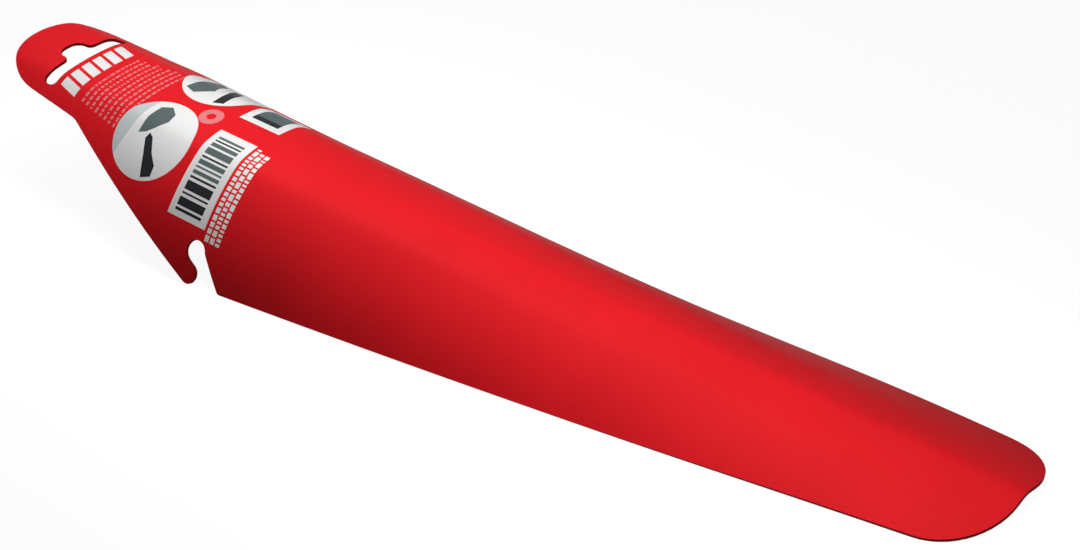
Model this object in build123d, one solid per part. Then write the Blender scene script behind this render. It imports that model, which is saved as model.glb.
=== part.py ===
from build123d import *
import os
from math import atan2, cos, degrees, pi, radians, sin, tanh

# Clip-on saddle mudguard: one sheet of polypropylene, die-cut flat and formed into an arch.
# Flat sizes: s runs along the centre line from the nose tip, t runs out from the centre line.
SHEET_THICKNESS = 1.0
BLANK_LENGTH = 360.0

# Tongue that goes under the saddle
NOSE_HALF_WIDTH = 17.8
NOSE_RADIUS = 19.5
NECK_AT = 39.8
NECK_HALF_WIDTH = 22.3
NECK_RADIUS = 12.0

# Fingers that hook behind the saddle rails
FINGER_TIP_AT = 103.5
FINGER_TIP_HALF_WIDTH = 53.1
FINGER_WIDTH = 6.4
FINGER_TIP_RADIUS = 3.0

# Notches that snap over the rails, each a punched pocket with a narrower throat, set in from the finger's tip
RAIL_DIAMETER = 7.0
POCKET_AHEAD_OF_TIP = 0.3
POCKET_INSIDE_TIP = 11.3
THROAT_WIDTH = 6.2
THROAT_ANGLE = 49.6

# Blade behind the notches
SHOULDER_AT = 115.0
SHOULDER_HALF_WIDTH = 50.6
SHOULDER_RADIUS = 1.5
TAIL_HALF_WIDTH = 22.0
TAIL_RADIUS = 20.0

# Hang slot across the tongue
SLOT_AT = 22.8
SLOT_LENGTH = 32.4
SLOT_HEIGHT = 4.8
SLOT_END_RADIUS = 2.0
CROWN_HEIGHT = 5.8
CROWN_WIDTH = 8.8
CROWN_RADIUS = 3.5
CROWN_FOOT_RADIUS = 2.0

# Forming: soft bends either side of a flat top, which fade into one centre ridge at the tail
BEND_ANGLE = 21.0
BEND_OFFSET = 12.0
BEND_WIDTH = 7.0
BEND_FADES_AT = 61.4
BEND_FADE_POWER = 1.8
RIDGE_ANGLE = 14.0
RIDGE_RADIUS = 1.5
RIDGE_STARTS_AT = 61.4
RIDGE_FULL_AT = 291.4
NOSE_ROLL_RADIUS = 114.6
SHOULDER_ROLL_RADIUS = 63.7
TAIL_ROLL_RADIUS = 286.5

# Fineness of the formed surface
SECTIONS = 17
SECTION_POINTS = 10
SECTION_CROWDING = 1.5
FORMING_STEPS = 48
EDGE_POINTS = 7
TRIM_MARGIN = 5.0


def ease(x):
    """Rises smoothly from 0 to 1 while x goes from 0 to 1."""
    x = min(1.0, max(0.0, x))
    return (1 - cos(pi * x)) / 2


def roll(s):
    """Curvature of the arch across the sheet, most at the shoulders."""
    at_shoulder = 1 / SHOULDER_ROLL_RADIUS
    if s < SHOULDER_AT:
        at_nose = 1 / NOSE_ROLL_RADIUS
        return at_nose + (at_shoulder - at_nose) * sin(pi / 2 * s / SHOULDER_AT)
    behind = (s - SHOULDER_AT) / (BLANK_LENGTH - SHOULDER_AT)
    return at_shoulder + (1 / TAIL_ROLL_RADIUS - at_shoulder) * behind


def tilt(s, t):
    """Slope of the formed sheet in radians, at t out from the centre line."""
    faded = (s - BEND_FADES_AT) / (BLANK_LENGTH - BEND_FADES_AT)
    faded = min(1.0, max(0.0, faded))
    bend = BEND_ANGLE * (1 - faded ** BEND_FADE_POWER)
    past_bend = ease((t - BEND_OFFSET) / BEND_WIDTH + 0.5)
    ridge = RIDGE_ANGLE * ease((s - RIDGE_STARTS_AT) / (RIDGE_FULL_AT - RIDGE_STARTS_AT))
    return radians(bend * past_bend + ridge * tanh(t / RIDGE_RADIUS)) + roll(s) * t


def formed(s, t):
    """Place in space of a flat point, found by following the slope out from the centre line."""
    step = abs(t) / FORMING_STEPS
    slopes = [tilt(s, step * (i + 0.5)) for i in range(FORMING_STEPS)]
    across = step * sum(cos(slope) for slope in slopes)
    drop = step * sum(sin(slope) for slope in slopes)
    return Vector(s, across if t >= 0 else -across, -drop)


def side_half_width(s):
    """Half width of the blade on its straight long sides."""
    behind = (s - SHOULDER_AT) / (BLANK_LENGTH - SHOULDER_AT)
    return SHOULDER_HALF_WIDTH + (TAIL_HALF_WIDTH - SHOULDER_HALF_WIDTH) * behind


def beyond(start, direction, distance):
    """The flat point a distance from another in a direction."""
    return (start[0] + direction[0] * distance, start[1] + direction[1] * distance)


def pocket_centre():
    """Flat place of a rail's centre in its notch."""
    return (FINGER_TIP_AT - POCKET_AHEAD_OF_TIP, FINGER_TIP_HALF_WIDTH - POCKET_INSIDE_TIP)


def rounded_outline(corners):
    """Closed flat outline from one side's corners and radii, mirrored about the centre line."""
    one_side = [corner for corner, radius in corners]
    other_side = [(s, -t) for s, t in reversed(one_side)]
    radii = [radius for corner, radius in corners]
    return FilletPolyline(*one_side, *other_side, radius=radii + radii[::-1], close=True)


def blank_outline():
    """Flat outline of the sheet, with its fingers and rail notches."""
    finger_tip = (FINGER_TIP_AT, FINGER_TIP_HALF_WIDTH)
    finger_run = (FINGER_TIP_AT - NECK_AT, FINGER_TIP_HALF_WIDTH - NECK_HALF_WIDTH)
    finger_length = (finger_run[0] ** 2 + finger_run[1] ** 2) ** 0.5
    inwards = (finger_run[1] / finger_length, -finger_run[0] / finger_length)

    outwards = (cos(radians(THROAT_ANGLE)), sin(radians(THROAT_ANGLE)))
    tailwards = (outwards[1], -outwards[0])
    throat_nose_side = beyond(pocket_centre(), tailwards, -THROAT_WIDTH / 2)
    throat_tail_side = beyond(pocket_centre(), tailwards, THROAT_WIDTH / 2)
    taper = side_half_width(1) - side_half_width(0)
    to_side = side_half_width(throat_tail_side[0]) - throat_tail_side[1]
    throat_depth = to_side / (outwards[1] - taper * outwards[0])

    return rounded_outline([
        ((0, NOSE_HALF_WIDTH), NOSE_RADIUS),
        ((NECK_AT, NECK_HALF_WIDTH), NECK_RADIUS),
        (finger_tip, FINGER_TIP_RADIUS),
        (beyond(finger_tip, inwards, FINGER_WIDTH), FINGER_TIP_RADIUS),
        (throat_nose_side, 0),
        (throat_tail_side, 0),
        (beyond(throat_tail_side, outwards, throat_depth), SHOULDER_RADIUS),
        ((BLANK_LENGTH, TAIL_HALF_WIDTH), TAIL_RADIUS),
    ])


def slot_outline():
    """Flat outline of the hang slot: a bar with a crown towards the nose."""
    bar_front = SLOT_AT - SLOT_HEIGHT / 2
    bar_back = SLOT_AT + SLOT_HEIGHT / 2
    return rounded_outline([
        ((bar_front - CROWN_HEIGHT, CROWN_WIDTH / 2), CROWN_RADIUS),
        ((bar_front, CROWN_WIDTH / 2), CROWN_FOOT_RADIUS),
        ((bar_front, SLOT_LENGTH / 2), SLOT_END_RADIUS),
        ((bar_back, SLOT_LENGTH / 2), SLOT_END_RADIUS),
    ])


def formed_plan(outline):
    """Plan view of a flat outline once the sheet is formed."""
    edges = []
    for edge in outline.edges():
        flat = [edge @ (i / (EDGE_POINTS - 1)) for i in range(EDGE_POINTS)]
        placed = [formed(point.X, point.Y) for point in flat]
        edges.append(Edge.make_spline([(point.X, point.Y, 0) for point in placed]))
    return Wire(edges)


def formed_surface():
    """Outer face of the sheet before it is cut, lofted through its cross sections."""
    half = [(i / SECTION_POINTS) ** SECTION_CROWDING for i in range(SECTION_POINTS + 1)]
    across = [-share for share in half[:0:-1]] + half
    reach = FINGER_TIP_HALF_WIDTH + TRIM_MARGIN
    spacing = (BLANK_LENGTH + 2 * TRIM_MARGIN) / (SECTIONS - 1)
    sections = []
    for i in range(SECTIONS):
        points = [formed(spacing * i - TRIM_MARGIN, share * reach) for share in across]
        sections.append(Wire([Edge.make_spline(points, parameters=across)]))
    return Shell.make_loft(sections).face()


def rail_punch(side):
    """Round punch through a notch's pocket, square to the sheet there."""
    at, offset = pocket_centre()
    slope = degrees(tilt(at, offset))
    centre = formed(at, side * offset)
    return Pos(centre) * Rot(-side * slope, 0, 0) * Cylinder(RAIL_DIAMETER / 2, RAIL_DIAMETER)


def lower_edge(s):
    """Lower corner of a long edge, which the mudguard lies on."""
    slope = tilt(s, side_half_width(s))
    inner_side = Vector(0, -sin(slope), -cos(slope))
    return formed(s, side_half_width(s)) + inner_side * SHEET_THICKNESS


def resting_place():
    """Move that lays the sheet on its long edges, with the middle of its box over the origin."""
    front = lower_edge(SHOULDER_AT)
    back = lower_edge(BLANK_LENGTH - TAIL_RADIUS)
    lean = atan2(back.Z - front.Z, back.X - front.X)
    floor = front.rotate(Axis.Y, degrees(lean)).Z
    middle = (BLANK_LENGTH * cos(lean) - SHEET_THICKNESS * sin(lean)) / 2
    return Pos(-middle, 0, -floor) * Rot(0, degrees(lean), 0)


def mudguard_sheet():
    """The whole mudguard, lying on its long edges with the arch upwards."""
    depth = 2 * FINGER_TIP_HALF_WIDTH
    die = Face(formed_plan(blank_outline()), [formed_plan(slot_outline())])
    die = Solid.extrude(Pos(0, 0, -depth) * die, (0, 0, 2 * depth))
    outer_face = (formed_surface() & die).face()
    sheet = thicken(outer_face, SHEET_THICKNESS) - rail_punch(1) - rail_punch(-1)
    return resting_place() * sheet


os.makedirs("parts", exist_ok=True)
export_step(mudguard_sheet(), "parts/mudguard_sheet.step")
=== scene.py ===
import bpy
import numpy as np
from mathutils import Matrix, Vector
from mathutils.geometry import delaunay_2d_cdt


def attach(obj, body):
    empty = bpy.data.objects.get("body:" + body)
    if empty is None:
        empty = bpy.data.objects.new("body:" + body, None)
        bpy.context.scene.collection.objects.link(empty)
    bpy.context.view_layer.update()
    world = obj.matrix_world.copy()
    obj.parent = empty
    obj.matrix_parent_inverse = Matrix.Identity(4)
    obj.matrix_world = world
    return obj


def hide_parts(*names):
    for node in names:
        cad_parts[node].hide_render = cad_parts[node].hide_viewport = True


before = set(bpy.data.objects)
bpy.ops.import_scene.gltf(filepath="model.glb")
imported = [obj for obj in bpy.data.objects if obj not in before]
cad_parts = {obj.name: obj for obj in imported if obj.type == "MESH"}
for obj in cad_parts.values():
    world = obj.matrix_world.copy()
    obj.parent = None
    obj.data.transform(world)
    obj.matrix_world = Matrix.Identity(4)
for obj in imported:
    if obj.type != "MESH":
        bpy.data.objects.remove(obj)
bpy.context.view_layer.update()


# The sheet: one millimetre of red polypropylene, die-cut flat to a tongue, two hooked fingers and a long blade.
# It is then formed warm into an arch, with two soft bends that fade into one centre ridge at the tail.
# Flat places are (s, t): s runs from the nose tip along the centre line, t runs out from it.
SHEET_THICKNESS = 0.001
BLANK_LENGTH = 0.360
EDGE_ROUND = 0.00012
FORMING_STEPS = 96
POCKET_POINTS = 40
OUTLINE_STEP, SLOT_STEP = 0.002, 0.001

NOSE_HALF_WIDTH, NOSE_RADIUS = 0.0178, 0.0195
NECK_AT, NECK_HALF_WIDTH, NECK_RADIUS = 0.0398, 0.0223, 0.012
FINGER_TIP_AT, FINGER_TIP_HALF_WIDTH = 0.1035, 0.0531
FINGER_WIDTH, FINGER_TIP_RADIUS = 0.0064, 0.003
RAIL_RADIUS = 0.0035
POCKET = np.array([0.1032, 0.0418])
THROAT_WIDTH, THROAT_ANGLE = 0.0062, np.radians(49.6)
SHOULDER_AT, SHOULDER_HALF_WIDTH, SHOULDER_RADIUS = 0.115, 0.0506, 0.0015
TAIL_HALF_WIDTH, TAIL_RADIUS = 0.022, 0.020
SLOT_AT, SLOT_LENGTH, SLOT_HEIGHT, SLOT_END_RADIUS = 0.0228, 0.0324, 0.0048, 0.002
CROWN_HEIGHT, CROWN_WIDTH, CROWN_RADIUS, CROWN_FOOT_RADIUS = 0.0058, 0.0088, 0.0035, 0.002

BEND_ANGLE, BEND_OFFSET, BEND_WIDTH = 21.0, 0.012, 0.007
BEND_FADES_AT, BEND_FADE_POWER = 0.0614, 1.8
RIDGE_ANGLE, RIDGE_RADIUS = 14.0, 0.0015
RIDGE_STARTS_AT, RIDGE_FULL_AT = 0.0614, 0.2914
NOSE_ROLL_RADIUS, SHOULDER_ROLL_RADIUS, TAIL_ROLL_RADIUS = 0.1146, 0.0637, 0.2865


def eased(x):
    """Half a cosine wave: 0 below x = 0, 1 above x = 1."""
    return (1 - np.cos(np.pi * np.clip(x, 0, 1))) / 2


def side_half_width(s):
    """Straight line from the shoulder's half width to the tail's."""
    behind = (s - SHOULDER_AT) / (BLANK_LENGTH - SHOULDER_AT)
    return SHOULDER_HALF_WIDTH + (TAIL_HALF_WIDTH - SHOULDER_HALF_WIDTH) * behind


def slope(s, t):
    """Tilt of the sheet: the bend's step, plus the ridge's tanh step, plus a steady roll outwards."""
    faded = np.clip((s - BEND_FADES_AT) / (BLANK_LENGTH - BEND_FADES_AT), 0, 1)
    bend = BEND_ANGLE * (1 - faded ** BEND_FADE_POWER)
    ridge = RIDGE_ANGLE * eased((s - RIDGE_STARTS_AT) / (RIDGE_FULL_AT - RIDGE_STARTS_AT))
    to_shoulder = np.sin(np.pi / 2 * np.clip(s / SHOULDER_AT, -1, 1))
    behind = (s - SHOULDER_AT) / (BLANK_LENGTH - SHOULDER_AT)
    at_nose, at_shoulder, at_tail = 1 / NOSE_ROLL_RADIUS, 1 / SHOULDER_ROLL_RADIUS, 1 / TAIL_ROLL_RADIUS
    roll = np.where(s < SHOULDER_AT, at_nose + (at_shoulder - at_nose) * to_shoulder,
                    at_shoulder + (at_tail - at_shoulder) * behind)
    past_bend = eased((t - BEND_OFFSET) / BEND_WIDTH + 0.5)
    return np.radians(bend * past_bend + ridge * np.tanh(t / RIDGE_RADIUS)) + roll * t


def arched(s, t):
    """Follows the slope out from the centre line: y is the sum of its cosines, z falls by the sum of its sines."""
    out = np.abs(t)
    tilts = slope(s[..., None], out[..., None] * (np.arange(FORMING_STEPS) + 0.5) / FORMING_STEPS)
    across = np.sign(t) * np.cos(tilts).mean(-1) * out
    return np.stack([s, across, -np.sin(tilts).mean(-1) * out], -1)


def resting(points):
    """Turns the arch about Y until a shoulder and the tail touch the floor, and centres it over the origin."""
    ends = np.array([SHOULDER_AT, BLANK_LENGTH - TAIL_RADIUS])
    wide = side_half_width(ends)
    tilts = slope(ends, wide)
    feet = arched(ends, wide) - SHEET_THICKNESS * np.stack([0 * tilts, np.sin(tilts), np.cos(tilts)], -1)
    lean = np.arctan2(feet[1, 2] - feet[0, 2], feet[1, 0] - feet[0, 0])
    turn = np.array([[np.cos(lean), 0, np.sin(lean)], [0, 1, 0], [-np.sin(lean), 0, np.cos(lean)]])
    middle = (BLANK_LENGTH * np.cos(lean) - SHEET_THICKNESS * np.sin(lean)) / 2
    return points @ turn.T - np.array([middle, 0, (feet[0] @ turn.T)[2]])


def rounded(corners, radii, per_arc=14):
    """Rounds each corner of an open line by an arc tangent to its two sides, and returns the points in a row."""
    corners, radii = np.asarray(corners, float), np.asarray(radii, float)
    before = corners[:-2] - corners[1:-1]
    after = corners[2:] - corners[1:-1]
    before /= np.linalg.norm(before, axis=1, keepdims=True)
    after /= np.linalg.norm(after, axis=1, keepdims=True)
    half = np.arccos(np.clip((before * after).sum(1), -1, 1)) / 2
    bisector = before + after
    bisector /= np.linalg.norm(bisector, axis=1, keepdims=True)
    centre = corners[1:-1] + bisector * (radii / np.sin(half))[:, None]
    side = before - bisector * (before * bisector).sum(1, keepdims=True)
    side /= np.linalg.norm(side, axis=1, keepdims=True)
    swing = np.linspace(1, -1, per_arc)[None, :] * (np.pi / 2 - half)[:, None]
    arcs = (centre[:, None] - bisector[:, None] * (radii[:, None] * np.cos(swing))[..., None]
            + side[:, None] * (radii[:, None] * np.sin(swing))[..., None])
    return arcs.reshape(-1, 2)


def both_sides(one_side):
    """Closes a line of points with its mirror image about the centre line."""
    return np.concatenate([one_side, one_side[::-1] * [1, -1]])


def divided(loop, longest):
    """Adds points along a closed loop so that no step is longer than the given length."""
    step = np.roll(loop, -1, 0) - loop
    count = np.ceil(np.linalg.norm(step, axis=1) / longest).astype(int)
    first = np.repeat(np.arange(len(loop)), count)
    share = (np.arange(count.sum()) - np.repeat(np.cumsum(count) - count, count)) / count[first]
    return loop[first] + step[first] * share[:, None]


def drawn_in(loop, distance):
    """Moves a closed loop a small distance to the left of its direction, along the mitre of its sides."""
    ahead = np.roll(loop, -1, 0) - loop
    ahead /= np.linalg.norm(ahead, axis=1, keepdims=True)
    normal = np.stack([-ahead[:, 1], ahead[:, 0]], 1)
    mitre = normal + np.roll(normal, 1, 0)
    return loop + distance * mitre / np.maximum((mitre * normal).sum(1, keepdims=True), 0.5)


finger_run = np.array([FINGER_TIP_AT - NECK_AT, FINGER_TIP_HALF_WIDTH - NECK_HALF_WIDTH])
finger_inwards = np.array([finger_run[1], -finger_run[0]]) / np.linalg.norm(finger_run)
finger_tip = np.array([FINGER_TIP_AT, FINGER_TIP_HALF_WIDTH])
finger_heel = finger_tip + FINGER_WIDTH * finger_inwards
throat_out = np.array([np.cos(THROAT_ANGLE), np.sin(THROAT_ANGLE)])
throat_back = np.array([throat_out[1], -throat_out[0]])
half_gap = np.arcsin(THROAT_WIDTH / 2 / RAIL_RADIUS)
round_pocket = np.linspace(half_gap, 2 * np.pi - half_gap, POCKET_POINTS)
pocket_wall = (POCKET + RAIL_RADIUS * np.cos(round_pocket)[:, None] * throat_out
               - RAIL_RADIUS * np.sin(round_pocket)[:, None] * throat_back)
throat_tail_side = POCKET + THROAT_WIDTH / 2 * throat_back
taper = (TAIL_HALF_WIDTH - SHOULDER_HALF_WIDTH) / (BLANK_LENGTH - SHOULDER_AT)
to_side = side_half_width(throat_tail_side[0]) - throat_tail_side[1]
shoulder = throat_tail_side + throat_out * to_side / (throat_out[1] - taper * throat_out[0])
tail = np.array([BLANK_LENGTH, TAIL_HALF_WIDTH])

nose_to_notch = rounded(
    [(0, 0), (0, NOSE_HALF_WIDTH), (NECK_AT, NECK_HALF_WIDTH), finger_tip, finger_heel, pocket_wall[0]],
    [NOSE_RADIUS, NECK_RADIUS, FINGER_TIP_RADIUS, FINGER_TIP_RADIUS])
notch_to_tail = rounded(
    [pocket_wall[-1], shoulder, tail, (BLANK_LENGTH, 0)], [SHOULDER_RADIUS, TAIL_RADIUS])
blank = both_sides(np.concatenate([nose_to_notch, pocket_wall, notch_to_tail]))
blank = divided(blank, OUTLINE_STEP)[::-1]

bar_front, bar_back = SLOT_AT - SLOT_HEIGHT / 2, SLOT_AT + SLOT_HEIGHT / 2
crown_top = bar_front - CROWN_HEIGHT
hang_slot = both_sides(rounded(
    [(crown_top, 0), (crown_top, CROWN_WIDTH / 2), (bar_front, CROWN_WIDTH / 2),
     (bar_front, SLOT_LENGTH / 2), (bar_back, SLOT_LENGTH / 2), (bar_back, 0)],
    [CROWN_RADIUS, CROWN_FOOT_RADIUS, SLOT_END_RADIUS, SLOT_END_RADIUS]))
hang_slot = divided(hang_slot, SLOT_STEP)


# The print: white, dark and pale inks screened on the flat blank before it is formed, on the tongue and fingers.
# Two roundels with marks in them, a panel of bars, a plain panel, a ring, rows of short dashes and a few blocks.
# Its sizes are in millimetres.
def mark(*corners):
    """A loop in metres from corners in millimetres."""
    return np.array(corners) / 1000


def block(s_low, s_high, t_low, t_high, slant=0.0):
    """Four corners of a flat bar; slant moves its tail side across."""
    return mark((s_low, t_low), (s_high, t_low + slant), (s_high, t_high + slant), (s_low, t_high))


def roundel(s, t, radius):
    """64 points round a circle."""
    turn = np.linspace(0, 2 * np.pi, 64, endpoint=False)
    return np.stack([s + radius * np.cos(turn), t + radius * np.sin(turn)], 1) / 1000


def dashes(s_low, s_high, t_start, lengths, gap):
    """A row of short bars with the same gap between them."""
    starts = t_start + np.concatenate([[0], np.cumsum(np.array(lengths) + gap)[:-1]])
    return [block(s_low, s_high, start, start + length) for start, length in zip(starts, lengths)]


RED, WHITE, DARK, GREY, PINK, MIST = 0, 2, 3, 4, 5, 6
chance = np.random.default_rng(7)
MOST_DASHES = 60
prints = [(WHITE, block(27.4, 35.0, t, t + 3.3, -1.8)) for t in np.arange(-14.6, 11.0, 4.5)]

FINE_GAP = 0.6
for row in np.arange(38.4, 57.5, 2.3):
    width = np.interp(row, [38, 57], [26, 33])
    lengths = chance.uniform(0.5, 1.9, MOST_DASHES)
    lengths = lengths[np.cumsum(lengths + FINE_GAP) < width]
    prints += [(PINK, dash) for dash in dashes(row, row + 0.9, -3.5 - width / 2, lengths, FINE_GAP)]

ROUNDEL_AT, ROUNDEL_OFFSET, ROUNDEL_RADIUS = 70.4, 16.5, 14.4
near_roundel = roundel(ROUNDEL_AT, -ROUNDEL_OFFSET, ROUNDEL_RADIUS)
far_roundel = roundel(ROUNDEL_AT, ROUNDEL_OFFSET, ROUNDEL_RADIUS)
prints += [
    (WHITE, near_roundel),
    (WHITE, far_roundel),
    (MIST, near_roundel[22:41]),
    (DARK, mark((73.6, -29.4), (77.0, -28.0), (76.6, -24.6), (73.4, -21.4),
                (70.6, -17.0), (68.8, -16.0), (68.2, -18.0), (70.6, -22.6))),
    (GREY, mark((64.6, -17.4), (67.2, -16.2), (69.2, -14.2), (72.0, -10.6),
                (71.4, -7.0), (68.0, -4.6), (64.8, -6.4), (64.2, -11.6))),
    (GREY, mark((61.8, 6.6), (66.2, 5.4), (70.6, 10.2), (66.4, 21.0), (61.6, 23.4), (62.4, 14.6))),
    (DARK, mark((75.2, 4.6), (78.4, 6.2), (77.2, 13.6), (73.2, 21.0), (71.0, 18.6), (74.2, 12.0))),
    (PINK, roundel(81.0, -1.3, 3.9)),
    (RED, roundel(81.0, -1.3, 1.5)),
    (WHITE, block(88.4, 103.8, -34.8, -4.4))]

bars = [
    (DARK, -33.0, 0.9), (DARK, -31.4, 2.6), (DARK, -27.8, 0.6), (DARK, -26.4, 2.9), (DARK, -22.6, 0.7),
    (GREY, -21.1, 1.2), (GREY, -19.1, 0.6), (GREY, -17.8, 1.5), (DARK, -15.6, 0.6), (GREY, -14.2, 2.2),
    (GREY, -11.3, 1.4), (DARK, -9.2, 0.6), (GREY, -7.9, 0.9)]
prints += [(ink, block(90.6, 101.2, t, t + width)) for ink, t, width in bars]

BOLD_GAP = 0.55
for row in (104.9, 107.1, 109.3):
    lengths = chance.uniform(0.6, 2.1, MOST_DASHES)
    lengths = lengths[np.cumsum(lengths + BOLD_GAP) < 33.0]
    prints += [(WHITE, dash) for dash in dashes(row, row + 1.6, -37.6, lengths, BOLD_GAP)]
prints += [
    (WHITE, block(87.8, 104.4, 3.8, 18.4)),
    (GREY, block(90.6, 101.4, 6.2, 16.6)),
    (DARK, block(90.6, 101.4, 6.2, 8.4))]


# The sheet's mesh: the cut blank with the print's outlines in it, divided into triangles, then formed.
# The outer face, the inner face and the slightly rounded cut edge between them make one closed skin.
PRINT_STEP = 0.0015
GRID_STEP = 0.0024
CLEAR_OF_RIM = 0.0007
DIRECTION_STEP = 2e-5


def inside(points, loop):
    """Counts how often a line from each point towards +s crosses the loop; odd means inside."""
    a, b = loop, np.roll(loop, -1, 0)
    straddles = (a[:, 1] > points[:, None, 1]) != (b[:, 1] > points[:, None, 1])
    rise = np.where(b[:, 1] == a[:, 1], 1.0, b[:, 1] - a[:, 1])
    crossing = a[:, 0] + (points[:, None, 1] - a[:, 1]) / rise * (b[:, 0] - a[:, 0])
    return (straddles & (points[:, None, 0] < crossing)).sum(1) % 2 == 1


def unit(v):
    """Scales vectors to length one."""
    return v / np.linalg.norm(v, axis=-1, keepdims=True)


def sheet_directions(flat):
    """Directions along s and t on the formed sheet, by small steps to both sides, and their normal."""
    h = DIRECTION_STEP
    s, t = flat.T
    along = unit(resting(arched(s + h, t)) - resting(arched(s - h, t)))
    across = unit(resting(arched(s, t + h)) - resting(arched(s, t - h)))
    return along, across, unit(np.cross(along, across))


edge_loops = [drawn_in(blank, EDGE_ROUND), drawn_in(hang_slot, EDGE_ROUND)]
rows_out = np.concatenate([
    [0.0003, 0.0007, 0.0012, 0.0018, 0.0026, 0.0036, 0.0048, 0.006],
    np.arange(0.007, 0.018, 0.0008), np.arange(0.0185, 0.054, 0.0016)])
rows_out = np.concatenate([-rows_out[::-1], [0], rows_out])
rows_along = np.arange(0.001, BLANK_LENGTH, GRID_STEP)
grid = np.stack(np.meshgrid(rows_along, rows_out, indexing="ij"), -1).reshape(-1, 2)
rim = np.concatenate(edge_loops)
grid = grid[inside(grid, edge_loops[0]) & ~inside(grid, edge_loops[1])]
grid = grid[np.sqrt(((grid[:, None] - rim) ** 2).sum(-1)).min(1) > CLEAR_OF_RIM]

print_loops = [divided(loop, PRINT_STEP) for ink, loop in prints]
loops = edge_loops + print_loops
sizes = np.array([len(loop) for loop in loops])
firsts = np.cumsum(sizes) - sizes
edges = [(first + i, first + (i + 1) % size)
         for first, size in zip(firsts, sizes) for i in range(size)]
flat_points = np.concatenate(loops + [grid])
cut = delaunay_2d_cdt([Vector(p) for p in flat_points], edges, [], 0, 1e-7, True)
flat = np.array([tuple(v) for v in cut[0]])
triangles = np.array(cut[2])
middles = flat[triangles].mean(1)
kept = inside(middles, edge_loops[0]) & ~inside(middles, edge_loops[1])
triangles, middles = triangles[kept], middles[kept]
ink_of = np.zeros(len(triangles), int)
for ink, loop in prints:
    ink_of[inside(middles, loop)] = ink
found = np.full(len(flat_points), -1)
for new, old in enumerate(cut[3]):
    found[old] = new
rim_of = [found[first:first + size] for first, size in zip(firsts[:2], sizes[:2])]

along, across, normal = sheet_directions(flat)
outer = resting(arched(*flat.T))
count = len(flat)
points = [outer, outer - normal * SHEET_THICKNESS]
normals = [normal, -normal]
faces = [triangles, triangles[:, ::-1] + count]
uv_flat = [flat, flat]
slots = [ink_of, np.zeros(len(triangles), int)]
swing = np.radians([30, 60, 90])
used = 2 * count
for ring in rim_of:
    ahead = unit(np.roll(flat[ring], -1, 0) - np.roll(flat[ring], 1, 0))
    outward = unit(along[ring] * ahead[:, 1:] - across[ring] * ahead[:, :1])
    centre_top = outer[ring] - normal[ring] * EDGE_ROUND
    centre_low = outer[ring] - normal[ring] * (SHEET_THICKNESS - EDGE_ROUND)
    top_turn = [np.cos(a) * normal[ring] + np.sin(a) * outward for a in swing]
    low_turn = [-np.cos(a) * normal[ring] + np.sin(a) * outward for a in swing[::-1]]
    points += [centre_top + EDGE_ROUND * turn for turn in top_turn]
    points += [centre_low + EDGE_ROUND * turn for turn in low_turn]
    normals += top_turn + low_turn
    uv_flat += [flat[ring]] * 6
    made = used + np.arange(6 * len(ring)).reshape(6, -1)
    used += 6 * len(ring)
    bands = np.concatenate([ring[None], made, ring[None] + count])
    a, b = bands[:-1].ravel(), np.roll(bands, -1, 1)[:-1].ravel()
    c, d = np.roll(bands, -1, 1)[1:].ravel(), bands[1:].ravel()
    faces += [np.stack([a, d, b], 1), np.stack([b, d, c], 1)]
    # The edge bands take material slot 1, the cut edge darkened with painted shade.
    slots += [np.ones(2 * len(a), int)]
points, normals = np.concatenate(points), unit(np.concatenate(normals))
uv_flat = np.concatenate(uv_flat)
faces, slots = np.concatenate(faces), np.concatenate(slots)

mesh = bpy.data.meshes.new("formed_sheet")
mesh.from_pydata(points.tolist(), [], faces.tolist())
mesh.polygons.foreach_set("material_index", slots.astype(np.int32))
mesh.polygons.foreach_set("use_smooth", np.ones(len(faces), bool))
layer = mesh.uv_layers.new(name="flat_blank")
uv_corners = uv_flat[faces.ravel()] / BLANK_LENGTH + [0, 0.5]
layer.data.foreach_set("uv", uv_corners.astype(np.float32).ravel())
mesh.normals_split_custom_set_from_vertices(normals.tolist())
mesh.update()
formed_sheet = bpy.data.objects.new("formed_sheet", mesh)
bpy.context.scene.collection.objects.link(formed_sheet)


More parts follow.
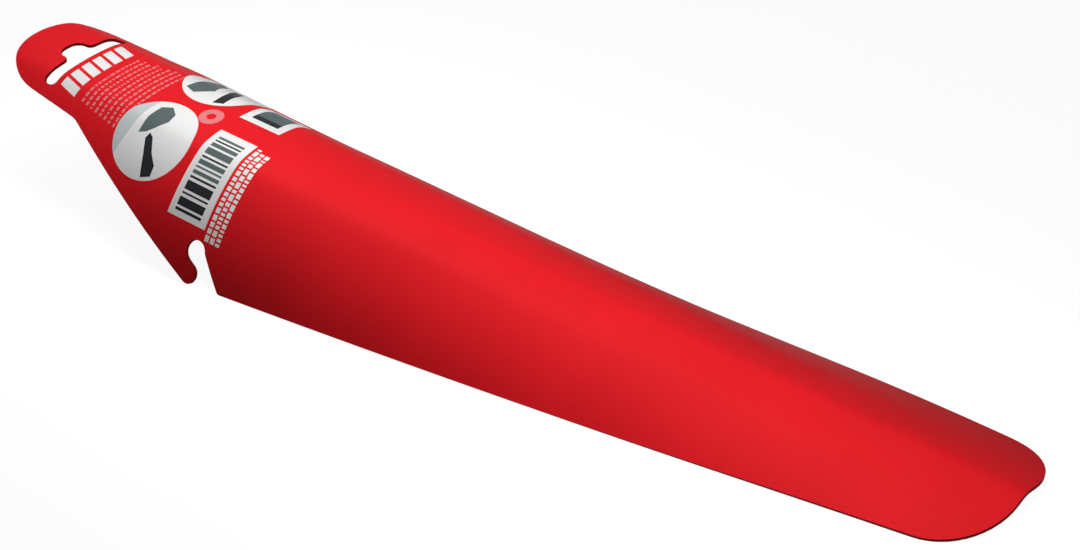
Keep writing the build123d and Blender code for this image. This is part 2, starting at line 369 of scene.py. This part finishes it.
def plastic(name, colour, rough, grain):
    """Satin polypropylene: an even colour with a slow cloudiness, a fine moulded grain in bump and roughness."""
    material = bpy.data.materials.new(name)
    material.use_nodes = True
    nodes, links = material.node_tree.nodes, material.node_tree.links
    shader = nodes["Principled BSDF"]
    shader.inputs["IOR"].default_value = 1.49
    shader.inputs["Specular IOR Level"].default_value = 0.04
    place = nodes.new("ShaderNodeTexCoord")
    cloud = nodes.new("ShaderNodeTexNoise")
    cloud.inputs["Scale"].default_value = 28.0
    cloud.inputs["Detail"].default_value = 3.0
    links.new(place.outputs["Object"], cloud.inputs["Vector"])
    tint = nodes.new("ShaderNodeValToRGB")
    tint.color_ramp.elements[0].position = 0.3
    tint.color_ramp.elements[1].position = 0.7
    tint.color_ramp.elements[0].color = (*[c * 0.95 for c in colour], 1)
    tint.color_ramp.elements[1].color = (*[min(1, c * 1.04) for c in colour], 1)
    links.new(cloud.outputs["Fac"], tint.inputs["Fac"])
    links.new(tint.outputs["Color"], shader.inputs["Base Color"])
    fine = nodes.new("ShaderNodeTexNoise")
    fine.inputs["Scale"].default_value = 1400.0
    fine.inputs["Detail"].default_value = 2.0
    links.new(place.outputs["Object"], fine.inputs["Vector"])
    bump = nodes.new("ShaderNodeBump")
    bump.inputs["Strength"].default_value = grain
    bump.inputs["Distance"].default_value = 0.0002
    links.new(fine.outputs["Fac"], bump.inputs["Height"])
    links.new(bump.outputs["Normal"], shader.inputs["Normal"])
    shine = nodes.new("ShaderNodeMapRange")
    shine.inputs["To Min"].default_value = rough - 0.05
    shine.inputs["To Max"].default_value = rough + 0.05
    links.new(fine.outputs["Fac"], shine.inputs["Value"])
    links.new(shine.outputs["Result"], shader.inputs["Roughness"])
    return material


# The second material, for the cut edge, is the sheet's red darkened to about a quarter: painted shade along the cut
# edge, not a colour of its own.
for name, colour, rough, grain in (
        ("red_polypropylene", (0.74, 0.012, 0.018), 0.55, 0.12),
        ("cut_edge_painted_shade", (0.20, 0.004, 0.006), 0.6, 0.4),
        ("white_ink", (0.80, 0.80, 0.79), 0.5, 0.15),
        ("dark_ink", (0.020, 0.022, 0.025), 0.5, 0.15),
        ("grey_ink", (0.10, 0.13, 0.13), 0.5, 0.15),
        ("pale_ink", (0.70, 0.20, 0.21), 0.5, 0.15),
        ("mist_ink", (0.55, 0.60, 0.62), 0.5, 0.15)):
    mesh.materials.append(plastic(name, colour, rough, grain))
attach(formed_sheet, "root")
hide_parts("mudguard_sheet")


# The floor: one plain pale sheet under the mudguard, white to the camera, with a faint shadow.
FLOOR_SIZE = 3.0
FLOOR_GLOW = 0.93


def sight_rays(nodes, links):
    """Output that is 1 for rays from the camera, a reflection or a see-through, and 0 for those that carry light."""
    rays = nodes.new("ShaderNodeLightPath")
    camera_or_gloss = nodes.new("ShaderNodeMath")
    camera_or_gloss.operation = "MAXIMUM"
    links.new(rays.outputs["Is Camera Ray"], camera_or_gloss.inputs[0])
    links.new(rays.outputs["Is Glossy Ray"], camera_or_gloss.inputs[1])
    any_sight = nodes.new("ShaderNodeMath")
    any_sight.operation = "MAXIMUM"
    links.new(camera_or_gloss.outputs["Value"], any_sight.inputs[0])
    links.new(rays.outputs["Is Transmission Ray"], any_sight.inputs[1])
    return any_sight.outputs["Value"]


floor_mesh = bpy.data.meshes.new("floor")
corner = FLOOR_SIZE / 2
floor_mesh.from_pydata(
    [(-corner, -corner, 0), (corner, -corner, 0), (corner, corner, 0), (-corner, corner, 0)], [], [(0, 1, 2, 3)])
floor = bpy.data.objects.new("floor", floor_mesh)
bpy.context.scene.collection.objects.link(floor)
paper = bpy.data.materials.new("floor_paper")
paper.use_nodes = True
nodes, links = paper.node_tree.nodes, paper.node_tree.links
nodes.remove(nodes["Principled BSDF"])
matt = nodes.new("ShaderNodeBsdfDiffuse")
matt.inputs["Color"].default_value = (0.25, 0.25, 0.25, 1)
glow = nodes.new("ShaderNodeEmission")
white = nodes.new("ShaderNodeMath")
white.operation = "MULTIPLY"
white.inputs[1].default_value = FLOOR_GLOW
links.new(sight_rays(nodes, links), white.inputs[0])
links.new(white.outputs["Value"], glow.inputs["Strength"])
both = nodes.new("ShaderNodeAddShader")
links.new(matt.outputs["BSDF"], both.inputs[0])
links.new(glow.outputs["Emission"], both.inputs[1])
links.new(both.outputs["Shader"], nodes["Material Output"].inputs["Surface"])
floor_mesh.materials.append(paper)


# The light: a soft strip lamp close over the arch, which leans to the near side at the tail.
# A wide weak lamp hangs high above, and the sky is white to the camera and dim as a light.
SKY_LIGHT = 0.035
world = bpy.data.worlds.new("white_studio")
bpy.context.scene.world = world
world.use_nodes = True
nodes, links = world.node_tree.nodes, world.node_tree.links
sky = nodes["Background"]
sky.inputs["Color"].default_value = (1, 1, 1, 1)
level = nodes.new("ShaderNodeMapRange")
level.inputs["To Min"].default_value = SKY_LIGHT
level.inputs["To Max"].default_value = 1.0
links.new(sight_rays(nodes, links), level.inputs["Value"])
links.new(level.outputs["Result"], sky.inputs["Strength"])


def hung_lamp(name, start, end, aim, width, power):
    """A flat lamp from one end to the other, turned about that line to face a place below."""
    start, end = Vector(start), Vector(end)
    lamp = bpy.data.lights.new(name, "AREA")
    lamp.shape = "RECTANGLE"
    lamp.size, lamp.size_y = (end - start).length, width
    lamp.energy = power
    lamp_object = bpy.data.objects.new(name, lamp)
    middle = (start + end) / 2
    along = (end - start).normalized()
    up = middle - Vector(aim)
    up = (up - along * up.dot(along)).normalized()
    turned = Matrix((along, up.cross(along), up)).transposed().to_4x4()
    lamp_object.matrix_world = Matrix.Translation(middle) @ turned
    lamp_object.visible_camera = False
    bpy.context.scene.collection.objects.link(lamp_object)


hung_lamp("strip_lamp", start=(-0.20, 0.004, 0.106), end=(0.25, -0.042, 0.066), aim=(0.025, -0.006, 0.02),
          width=0.03, power=0.205)
hung_lamp("high_lamp", start=(-0.25, -0.15, 0.9), end=(0.35, -0.15, 0.9), aim=(0.05, 0.0, 0.02),
          width=0.6, power=0.35)


# The camera: above the tail on the near side, with a long lens.
# It is turned a little, so that the blade runs down to the right.
camera = bpy.data.cameras.new("camera")
camera.sensor_width = 36.0
camera.lens = 80.666
camera.clip_start = 0.01
camera_object = bpy.data.objects.new("camera", camera)
right, up = Vector((0.76123, 0.63939, -0.10823)), Vector((-0.27639, 0.47087, 0.83779))
back = Vector((0.58663, -0.60784, 0.53516))
turned = Matrix((right, up, back)).transposed().to_4x4()
camera_object.matrix_world = Matrix.Translation((0.41545, -0.40180, 0.37212)) @ turned
bpy.context.scene.collection.objects.link(camera_object)
bpy.context.scene.camera = camera_object
bpy.context.scene.view_settings.view_transform = "Standard"
